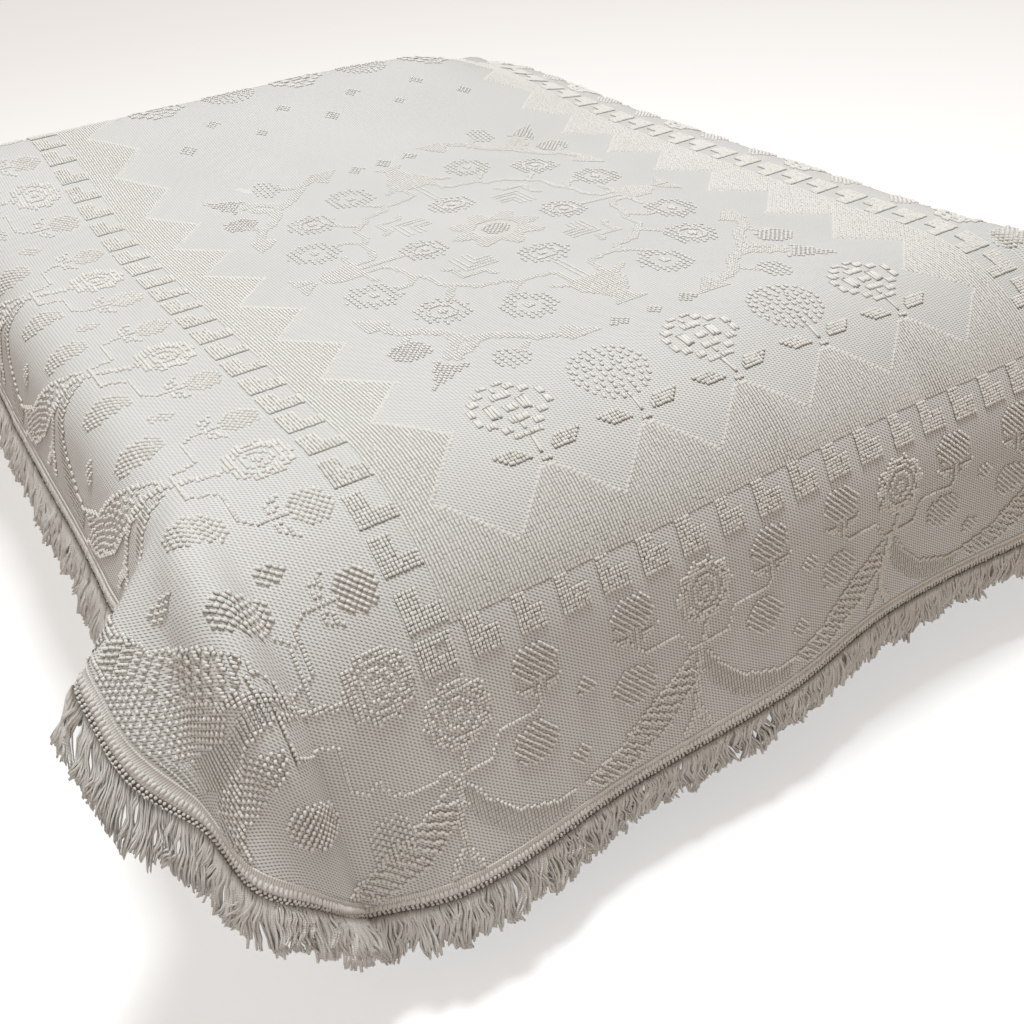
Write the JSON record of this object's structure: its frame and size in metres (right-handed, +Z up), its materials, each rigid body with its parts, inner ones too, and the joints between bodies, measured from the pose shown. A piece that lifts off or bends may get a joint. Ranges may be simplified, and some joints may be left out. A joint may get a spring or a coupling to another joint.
{
  "type": "chenille bedspread on a bed",
  "caption": "Woven cotton chenille bedspread with a knotted fringe, draped in soft corner folds over a plain mattress and bed base.",
  "frame": {"origin": "centre of the bed base's underside, on the floor", "axes": "+X across the bed to the right as seen from its foot, +Y along the bed from foot to head, +Z up"},
  "size_m": [1.7567, 2.1722, 0.6985],
  "materials": {
    "base_cloth": "plain pale upholstery cloth",
    "mattress_ticking": "plain off-white ticking",
    "woven_cotton": "off-white ribbed cotton with raised bobbles",
    "fringe_cotton": "loose off-white cotton yarn"
  },
  "bodies": {
    "root": {"bed_base": "base_cloth", "mattress": "mattress_ticking", "bedspread": "woven_cotton", "fringe": "fringe_cotton"}
  },
  "joints": []
}
